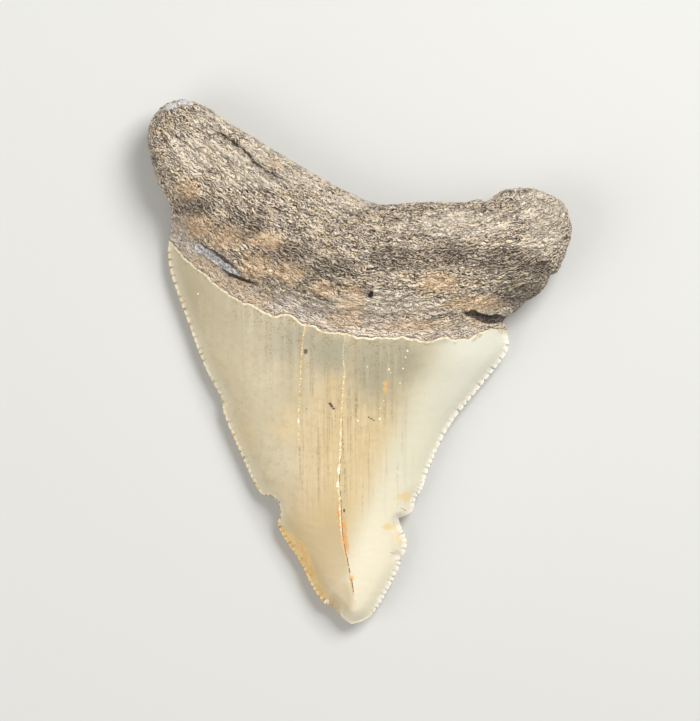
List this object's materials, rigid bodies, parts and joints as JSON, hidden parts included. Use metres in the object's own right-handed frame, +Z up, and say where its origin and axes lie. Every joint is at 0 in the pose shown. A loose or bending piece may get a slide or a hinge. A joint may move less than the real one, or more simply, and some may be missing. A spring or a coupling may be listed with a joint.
{
  "type": "megalodon tooth",
  "caption": "Fossil megalodon tooth with a broad saw-edged blade, a chipped tip end and a rough two-lobed root, lying on its flat outer face.",
  "frame": {"origin": "middle of the footprint, on the surface that the tooth lies on", "axes": "+Z up, out of the domed inner (tongue-side) face; +Y from the blade's tip towards the root; +X to the right seen from above, towards the shorter root lobe"},
  "size_m": [0.051, 0.063, 0.0134],
  "materials": {
    "fossil_tooth": null
  },
  "bodies": {
    "root": {"tooth": "fossil_tooth"}
  },
  "joints": []
}
